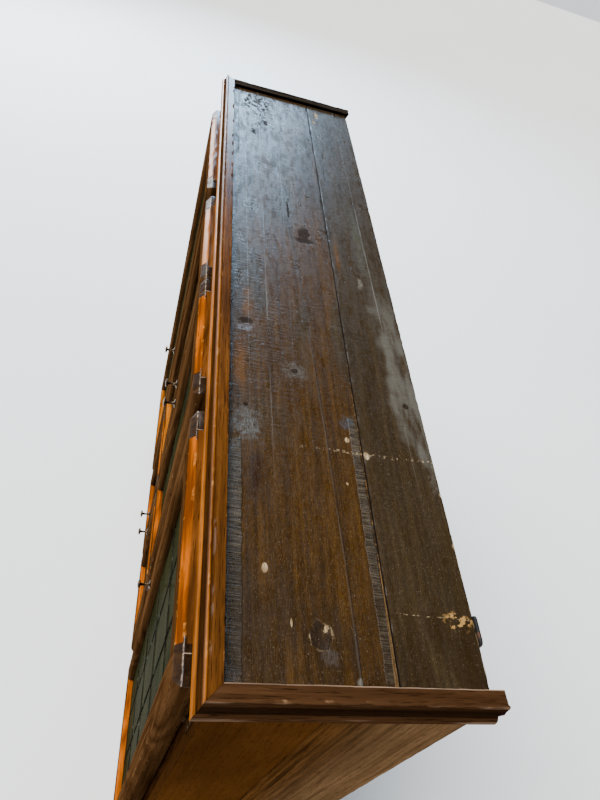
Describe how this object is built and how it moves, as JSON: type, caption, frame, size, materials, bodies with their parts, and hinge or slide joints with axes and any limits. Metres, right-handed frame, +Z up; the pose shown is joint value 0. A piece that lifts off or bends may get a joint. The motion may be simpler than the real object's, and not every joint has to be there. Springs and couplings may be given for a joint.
{
  "type": "glazed bookcase",
  "caption": "Long oak bookcase on a plinth, with leaded glass doors in outer bays and in a centre bay of two tiers, a moulded cornice and a recessed rough top.",
  "frame": {"origin": "on the floor, under the middle of the bounding box of the closed bookcase", "axes": "+Z up, -Y towards the person in front of the doors, +X to the right as seen from the front"},
  "size_m": [1.6226, 0.4052, 1.3684],
  "materials": {
    "oak": "old varnish, satin, warm orange brown",
    "rough_top": "rough sawn, dark stained, worn and scuffed",
    "dark_oak": "dull, unpolished",
    "leaded_glass": "dark olive rectangular quarries in lead cames",
    "brass": "aged, tarnished",
    "iron": "black, dull"
  },
  "bodies": {
    "carcass": {"top_board_front": "rough_top", "top_board_back": "rough_top", "cornice_front": "oak", "cornice_left_return": "oak", "cornice_right_return": "oak", "plinth_front": "oak", "plinth_left_return": "oak", "plinth_right_return": "oak", "left_side_panel": "oak", "right_side_panel": "oak", "left_partition": "oak", "right_partition": "oak", "bottom_board": "oak", "back_panel": "dark_oak", "left_end_stile": "oak", "right_end_stile": "oak", "left_post": "oak", "right_post": "oak", "frieze_rail": "oak", "transom_rail": "oak", "bottom_rail": "oak", "left_bay_shelf_1": "oak", "left_bay_shelf_2": "oak", "right_bay_shelf_1": "oak", "right_bay_shelf_2": "oak", "tier_deck": "oak", "lower_tier_shelf_1": "oak", "upper_tier_shelf_1": "oak", "upper_tier_shelf_2": "oak", "wall_strap": "iron"},
    "left_door": {"left_door_frame": "oak", "left_door_light": "leaded_glass", "left_door_knob": "brass", "left_door_lower_hinge": "brass", "left_door_upper_hinge": "brass"},
    "right_door": {"right_door_frame": "oak", "right_door_light": "leaded_glass", "right_door_knob": "brass", "right_door_lower_hinge": "brass", "right_door_upper_hinge": "brass"},
    "lower_left_door": {"lower_left_door_frame": "oak", "lower_left_door_light": "leaded_glass", "lower_left_door_knob": "brass", "lower_left_door_lower_hinge": "brass", "lower_left_door_upper_hinge": "brass"},
    "lower_right_door": {"lower_right_door_frame": "oak", "lower_right_door_light": "leaded_glass", "lower_right_door_knob": "brass", "lower_right_door_lower_hinge": "brass", "lower_right_door_upper_hinge": "brass"},
    "upper_left_door": {"upper_left_door_frame": "oak", "upper_left_door_light": "leaded_glass", "upper_left_door_knob": "brass", "upper_left_door_lower_hinge": "brass", "upper_left_door_upper_hinge": "brass"},
    "upper_right_door": {"upper_right_door_frame": "oak", "upper_right_door_light": "leaded_glass", "upper_right_door_knob": "brass", "upper_right_door_lower_hinge": "brass", "upper_right_door_upper_hinge": "brass"}
  },
  "joints": [
    {"name": "left_door_hinge", "type": "hinge", "parent": "carcass", "child": "left_door", "pos_m": [-0.7636, -0.14385, 0.697], "axis": [0, 0, -1], "range_deg": [0, 100]},
    {"name": "right_door_hinge", "type": "hinge", "parent": "carcass", "child": "right_door", "pos_m": [0.7636, -0.14385, 0.697], "axis": [0, 0, 1], "range_deg": [0, 100]},
    {"name": "lower_left_door_hinge", "type": "hinge", "parent": "carcass", "child": "lower_left_door", "pos_m": [-0.3101, -0.14385, 0.323], "axis": [0, 0, -1], "range_deg": [0, 90]},
    {"name": "lower_right_door_hinge", "type": "hinge", "parent": "carcass", "child": "lower_right_door", "pos_m": [0.3101, -0.14385, 0.323], "axis": [0, 0, 1], "range_deg": [0, 90]},
    {"name": "upper_left_door_hinge", "type": "hinge", "parent": "carcass", "child": "upper_left_door", "pos_m": [-0.3101, -0.14385, 0.918], "axis": [0, 0, -1], "range_deg": [0, 90]},
    {"name": "upper_right_door_hinge", "type": "hinge", "parent": "carcass", "child": "upper_right_door", "pos_m": [0.3101, -0.14385, 0.918], "axis": [0, 0, 1], "range_deg": [0, 90]}
  ]
}
